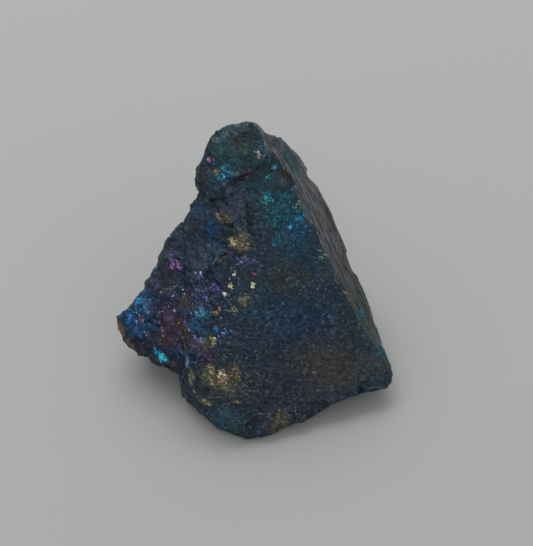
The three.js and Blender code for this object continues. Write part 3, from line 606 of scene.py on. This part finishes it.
def tarnished_sulphide():
    """Massive chalcopyrite, broken and then tarnished: a dark metallic sulphide under thin films of oxide,
    which turn its brassy reflection blue, teal and violet, with fresh grains that flash in the light, their
    flashes partly painted as bright grain colour. The striated side carries a painted grey sheen, and
    painted shade darkens the hollows."""
    material, add = new_material("chalcopyrite_broken_and_tarnished")

    def lumps(size, detail, roughness, where):
        """Noise whose lumps are about size millimetres across."""
        values = {"Vector": where, "Scale": 1 / size, "Detail": detail, "Roughness": roughness}
        return add("TexNoise", values)

    def along(grain, stretch):
        """Places in a frame that runs along a grain, where everything is stretched that many times."""
        turn = Vector(grain).to_track_quat("X", "Z").to_euler()
        values = {"Vector": place, "Rotation": turn, "Scale": (stretch, 1.0, 1.0)}
        return add("Mapping", values, vector_type="TEXTURE")[0]

    def wandered(where, size, detail, reach):
        """Places pushed about by noise, by up to about a third of the reach, so that outlines wander."""
        push = add("VectorMath", (lumps(size, detail, 0.7, where)["Color"], HALF), operation="SUBTRACT")[0]
        push = add("VectorMath", (push, (reach, reach, reach)), operation="MULTIPLY")[0]
        return add("VectorMath", (where, push), operation="ADD")[0]

    def cells(size, where):
        """A patchwork of cells: three random rolls for each cell, and the slope that each one leans at."""
        found = add("TexVoronoi", {"Vector": where, "Scale": 1 / size})
        rolls = add("SeparateColor", (found["Color"],))
        lean = add("VectorMath", (found["Color"], HALF), operation="SUBTRACT")[0]
        offset = add("VectorMath", (where, found["Position"]), operation="SUBTRACT")[0]
        return rolls, add("VectorMath", (lean, offset), operation="DOT_PRODUCT")["Value"]

    def coated(colour, amount, coat):
        """A colour under a coat that hides it by an amount from 0 to 1."""
        return add("Mix", {0: amount, 6: colour, 7: coat}, data_type="RGBA")[2]

    def brightened(colour, amount):
        """A colour times an amount, which may be over 1."""
        values = {0: amount, 6: linear(BLACK), 7: colour}
        return add("Mix", values, data_type="RGBA", clamp_factor=False)[2]

    def nearness(middle, reach):
        """1 round a middle and 0 beyond its reach, with a frayed edge between."""
        where = pushed if reach > SMALL_REACH else nudged
        away = add("VectorMath", (where, middle), operation="DISTANCE")["Value"]
        away = add("Math", (away, fray), operation="MULTIPLY")[0]
        return add("MapRange", (away, reach * FILM_END, reach * FILM_FULL))[0]

    def filmed(colour, films):
        """A colour under all the films of a list."""
        for _, middle, reach, film, share in films:
            amount = add("Math", (nearness(middle, reach), share), operation="MULTIPLY")[0]
            colour = coated(colour, amount, linear(film))
        return colour

    def picked_out(colour, choices, roll, factor):
        """A colour on which each cell is covered by the choice that its roll falls to."""
        for _, choice, share in choices:
            shown = add("Math", (roll, share), operation="LESS_THAN")[0]
            shown = add("Math", (shown, factor), operation="MULTIPLY")[0]
            colour = coated(colour, shown, linear(choice))
        return colour

    # A MapRange node's inputs are the value, the range that it comes from and the range that it goes to.
    in_metres = add("TexCoord")["Object"]
    place = add("VectorMath", (in_metres, (MM, MM, MM)), operation="DIVIDE")[0]
    height = add("SeparateXYZ", (place,))["Z"]
    side = add("Attribute", attribute_name="striated_side")["Fac"]
    ragged = add("Attribute", attribute_name="ragged")["Fac"]
    hollow_shade = add("Attribute", attribute_name="hollow_shade")["Fac"]

    # Films end raggedly: their edges are pushed about, small ones less than large ones, and then frayed.
    pushed = wandered(place, size=1.8, detail=5.0, reach=4.0)
    nudged = wandered(place, size=0.8, detail=3.0, reach=1.2)
    fray = lumps(0.6, 4.0, 0.7, along(FLANK_GRAIN, 1.6))["Fac"]
    fray = add("MapRange", (fray, 0.3, 0.7, 0.5, 1.7))[0]

    # Grains have wavy outlines, and the larger ones lie along the flank's grain. Ripples are short, bent
    # strokes a quarter of a millimetre wide.
    small_place = wandered(along(BROAD_GRAIN, 1.2), size=0.25, detail=2.0, reach=0.4)
    large_place = wandered(along(FLANK_GRAIN, 1.9), size=0.4, detail=2.0, reach=0.4)
    face_place = wandered(along(FLANK_GRAIN, 1.6), size=0.9, detail=3.0, reach=1.6)
    ripple_place = wandered(along(BROAD_GRAIN, 1.5), size=0.5, detail=1.0, reach=0.7)
    small_rolls, small_slope = cells(SMALL_GRAIN, small_place)
    large_rolls, large_slope = cells(LARGE_GRAIN, large_place)
    face_rolls, face_slope = cells(BROKEN_FACE, face_place)
    ripple = add("SeparateColor", (lumps(RIPPLE, 1.0, 0.5, ripple_place)["Color"],))
    stroke_rolls = [add("MapRange", (channel, 0.3, 0.7))[0] for channel in ripple[:2]]
    rolls = (small_rolls, large_rolls, stroke_rolls)

    # The dark sulphide, between slate and teal grey in clouds about 5 mm across.
    cloud = add("MapRange", (lumps(CLOUD, 3.0, 0.6, place)["Fac"], 0.4, 0.6))[0]
    colour = coated(linear("#34454F"), cloud, linear("#343E50"))
    on_faces = add("Math", (nearness(FACES_MIDDLE, FACES_REACH), ragged), operation="MULTIPLY")[0]
    on_faces = add("Math", (on_faces, FACES_SHARE), operation="MULTIPLY")[0]
    colour = picked_out(colour, FACES, face_rolls[0], on_faces)
    colour = filmed(colour, FILMS)

    # The striated side shows a painted grey sheen, in streaks along its striations, and it is darker towards
    #  the foot.
    streak_place = wandered(along(SIDE_GRAIN, 6.0), size=0.8, detail=2.0, reach=0.4)
    streak = lumps(STREAK, 3.0, 0.7, streak_place)["Fac"]
    grey = add("MapRange", (streak, 0.36, 0.64))[0]
    grey = coated(linear("#24262C"), grey, linear("#808286"))
    grey = brightened(grey, add("MapRange", (height, 6.0, 24.0, 0.58, 1.25))[0])
    grey = filmed(grey, SIDE_FILMS)
    edge = lumps(0.8, 5.0, 0.7, along(SIDE_GRAIN, 3.0))["Fac"]
    edge = add("MapRange", (edge, 0.3, 0.7, -0.4, 0.4))[0]
    edge = add("Math", (side, edge), operation="ADD")[0]
    colour = coated(colour, add("MapRange", (edge, 0.3, 0.8))[0], grey)

    # The edge between the two faces is rubbed bare in places.
    from_edge = add("Math", (side, 2.0), operation="MULTIPLY")[0]
    from_edge = add("Math", (from_edge, 1.0), operation="SUBTRACT")[0]
    from_edge = add("Math", (from_edge,), operation="ABSOLUTE")[0]
    rubbed = add("Math", (1.0, from_edge), operation="SUBTRACT")[0]
    in_streaks = add("MapRange", (streak, 0.45, 0.6, 0.0, 0.7))[0]
    rubbed = add("Math", (rubbed, in_streaks), operation="MULTIPLY")[0]
    higher_up = add("MapRange", (height, 8.0, 14.0))[0]
    rubbed = add("Math", (rubbed, higher_up), operation="MULTIPLY")[0]
    colour = coated(colour, rubbed, linear("#98968E"))

    # Single grains are lighter or darker than the film around them, and a few have a colour of their own,
    # partly painted sparkle.
    grainy = add("Math", (side, 0.7), operation="MULTIPLY")[0]
    grainy = add("Math", (1.0, grainy), operation="SUBTRACT")[0]
    speckle = add("MapRange", (small_rolls[0], 0.0, 1.0, -0.2, 0.2))[0]
    speckle = add("Math", (speckle, grainy), operation="MULTIPLY")[0]
    swing = add("MapRange", (stroke_rolls[0], 0.0, 1.0, -0.5, 0.5))[0]
    swing_share = add("MapRange", (ragged, 0.0, 1.0, 0.85, 0.6))[0]
    swing = add("Math", (swing_share, swing), operation="MULTIPLY")[0]
    shade = add("Math", (speckle, swing), operation="ADD")[0]
    colour = brightened(colour, add("Math", (1.0, shade), operation="ADD")[0])
    scattered = lumps(SPECK_PATCH, 2.0, 0.6, place)["Fac"]
    scattered = add("MapRange", (scattered, 0.4, 0.65, 0.05, 0.45))[0]
    scattered = add("Math", (grainy, scattered), operation="MULTIPLY")[0]
    colour = picked_out(colour, STRAY_GRAINS, small_rolls[2], scattered)

    # Bright grains, partly their own colour and partly painted glints. Rows take turns at two rolls, so that
    # clusters which overlap light up different grains.
    flash = 0.0
    for row, (_, middle, reach, bright, share, kind) in enumerate(GRAINS_AND_GLINTS):
        odds = add("Math", (nearness(middle, reach), share), operation="MULTIPLY")[0]
        picked = add("Math", (rolls[kind][row % 2], odds), operation="LESS_THAN")[0]
        colour = coated(colour, picked, linear(bright))
        flash = add("Math", (flash, picked), operation="MAXIMUM")[0]
    # Painted glints: the bright grains are made from half to one and a half times as bright, at random.
    painted_glint_gain = add("Math", (small_rolls[2], large_rolls[2]), operation="MULTIPLY")[0]
    painted_glint_gain = add("MapRange", (painted_glint_gain, 0.0, 0.6, 0.5, 1.5))[0]
    colour = coated(colour, flash, brightened(colour, painted_glint_gain))

    # Painted shade: hollows are darkened, as where little light reaches, and the tops of bumps are lightened
    # a little.
    colour = brightened(colour, add("MapRange", (hollow_shade, -0.5, 1.0, 1.15, 0.5))[0])

    # Every broken face and every grain leans its own way, and strokes and streaks stand out a little,
    # which scatters the highlights: a slope, where it shows, its strength and its depth in millimetres.
    bumps = (
        (face_slope, ragged, 0.8, 0.9),
        (large_slope, ragged, 0.6, 0.9),
        (small_slope, grainy, 0.5, 0.9),
        (streak, side, 0.6, 0.2),
        (stroke_rolls[0], grainy, 0.6, 0.1),
    )
    normal = add("NewGeometry")["Normal"]
    for slope, shown, strength, depth in bumps:
        slope = add("Math", (slope, shown), operation="MULTIPLY")[0]
        values = {"Strength": strength, "Distance": depth * MM, "Height": slope, "Normal": normal}
        normal = add("Bump", values)[0]

    roughness = add("MapRange", (lumps(0.8, 4.0, 0.6, place)["Fac"], 0.3, 0.7, 0.36, 0.54))[0]
    smoother = add("Math", (flash, 0.2), operation="MULTIPLY")[0]
    roughness = add("Math", (roughness, smoother), operation="SUBTRACT")[0]
    values = {"Base Color": colour, "Metallic": 0.75, "Roughness": roughness, "Normal": normal}
    add("OutputMaterial", {"Surface": add("BsdfPrincipled", values)[0]})
    return material


def table_paper(colour):
    """Matt white paper, unprinted: no gloss, so the shadows stay soft and plain."""
    material, add = new_material("matt_paper_unprinted")
    values = {"Base Color": [*colour, 1.0], "Roughness": 0.9}
    add("OutputMaterial", {"Surface": add("BsdfPrincipled", values)[0]})
    return material


# ---- What a user can change ----------------------------------------------------------------------


class OreStoneSettings(bpy.types.PropertyGroup):
    mesh_size: FloatProperty(
        name="Mesh size",
        description="Size of the faces that carry the relief",
        default=0.195 * MM,
        min=0.15 * MM,
        unit="LENGTH",
        precision=5,
    )
    relief: FloatProperty(
        name="Relief",
        description="How strongly the broken surface stands in and out",
        default=1.0,
        min=0.0,
        max=2.0,
    )


class OreStageSettings(bpy.types.PropertyGroup):
    table_colour: FloatVectorProperty(
        name="Table",
        description="Colour of the table under the stone",
        subtype="COLOR",
        default=(0.485, 0.488, 0.472),
        min=0.0,
        max=1.0,
    )
    key_power: FloatProperty(
        name="Key light",
        description="Power of the large soft light above and behind the stone",
        default=1.5,
        min=0.0,
        unit="POWER",
    )
    spark_power: FloatProperty(
        name="Spark light",
        description="Power of the small light in front, which single grains flash back",
        default=0.1,
        min=0.0,
        unit="POWER",
    )
    sky: FloatProperty(
        name="Room light",
        description="Brightness of the light that comes from all round",
        default=0.48,
        min=0.0,
    )


# ---- Operators -----------------------------------------------------------------------------------


class ORE_OT_stone(bpy.types.Operator):
    """Carve the broken relief into the stone and tarnish it"""

    bl_idname = "ore.stone"
    bl_label = "Stone"

    def execute(self, context):
        piece = carve_stone(context.scene.ore_stone)
        piece.data.materials.append(tarnished_sulphide())
        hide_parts(NODE)
        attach(piece, "root")
        return {"FINISHED"}


# The stage: sizes and places in metres, and the colour of the light from all round.
TABLE_SIZE = 3.0
KEY_SIZE = (0.55, 0.4)
KEY_PLACE = (-0.08, 0.27, 0.44)
SPARK_SIZE = (0.06, 0.06)
SPARK_PLACE = (-0.06, -0.37, 0.47)
LIT_PLACE = Vector((0.0, 0.0, 0.01))
SKY_COLOUR = (0.96, 0.98, 1.0, 1.0)

# The camera: where it looks, from how far and how high, its lens and sensor in millimetres, and the
# nearest distance that it sees.
VIEW_TARGET = Vector((1.43, 3.432, 10.0)) * MM
VIEW_DISTANCE = 260 * MM
VIEW_ELEVATION = math.radians(50)
LENS = 142.3
SENSOR = 36.0
NEAREST = 10 * MM


def aimed(scene, name, data, place, target):
    """A light or a camera that looks from a place at a target."""
    thing = bpy.data.objects.new(name, data)
    thing.location = place
    thing.rotation_euler = (target - thing.location).to_track_quat("-Z", "Y").to_euler()
    scene.collection.objects.link(thing)
    return thing


def add_soft_light(scene, name, power, size, place):
    """A rectangular light over the table, turned to the stone."""
    lamp = bpy.data.lights.new(name, "AREA")
    lamp.shape = "RECTANGLE"
    lamp.size, lamp.size_y = size
    lamp.energy = power
    aimed(scene, name, lamp, place, LIT_PLACE)


def add_room_light(scene, strength):
    """Even light from all round."""
    world = bpy.data.worlds.new("room")
    world.use_nodes = True
    sky = world.node_tree.nodes["Background"]
    sky.inputs["Color"].default_value = SKY_COLOUR
    sky.inputs["Strength"].default_value = strength
    scene.world = world


def add_camera(scene):
    """The camera, straight in front of the stone and looking down on it."""
    lens = bpy.data.cameras.new("camera")
    lens.lens = LENS
    lens.sensor_width = SENSOR
    lens.clip_start = NEAREST
    back = Vector((0.0, -math.cos(VIEW_ELEVATION), math.sin(VIEW_ELEVATION)))
    scene.camera = aimed(scene, "camera", lens, VIEW_TARGET + back * VIEW_DISTANCE, VIEW_TARGET)


class ORE_OT_stage(bpy.types.Operator):
    """Set the table, the soft lights and the camera"""

    bl_idname = "ore.stage"
    bl_label = "Stage"

    def execute(self, context):
        scene = context.scene
        settings = scene.ore_stage
        bpy.ops.mesh.primitive_plane_add(size=TABLE_SIZE)
        table = context.object
        table.name = "table"
        table.data.materials.append(table_paper(settings.table_colour))
        add_soft_light(scene, "key light", settings.key_power, KEY_SIZE, KEY_PLACE)
        add_soft_light(scene, "spark light", settings.spark_power, SPARK_SIZE, SPARK_PLACE)
        add_room_light(scene, settings.sky)
        scene.view_settings.view_transform = "Standard"
        add_camera(scene)
        return {"FINISHED"}


class ORE_PT_panel(bpy.types.Panel):
    """Lists the stone's settings and the buttons that build it"""

    bl_idname = "ORE_PT_panel"
    bl_label = "Tarnished stone"
    bl_space_type = "VIEW_3D"
    bl_region_type = "UI"
    bl_category = "Ore"

    def draw(self, context):
        for group, operator in (("ore_stone", ORE_OT_stone), ("ore_stage", ORE_OT_stage)):
            settings = getattr(context.scene, group)
            box = self.layout.box()
            box.operator(operator.bl_idname)
            for name in settings.__annotations__:
                box.prop(settings, name)


CLASSES = (OreStoneSettings, OreStageSettings, ORE_OT_stone, ORE_OT_stage, ORE_PT_panel)


def register():
    for cls in CLASSES:
        bpy.utils.register_class(cls)
    bpy.types.Scene.ore_stone = PointerProperty(type=OreStoneSettings)
    bpy.types.Scene.ore_stage = PointerProperty(type=OreStageSettings)


def unregister():
    del bpy.types.Scene.ore_stage
    del bpy.types.Scene.ore_stone
    for cls in reversed(CLASSES):
        bpy.utils.unregister_class(cls)


def main():
    register()
    bpy.ops.ore.stone()
    bpy.ops.ore.stage()


if __name__ == "__main__":
    main()
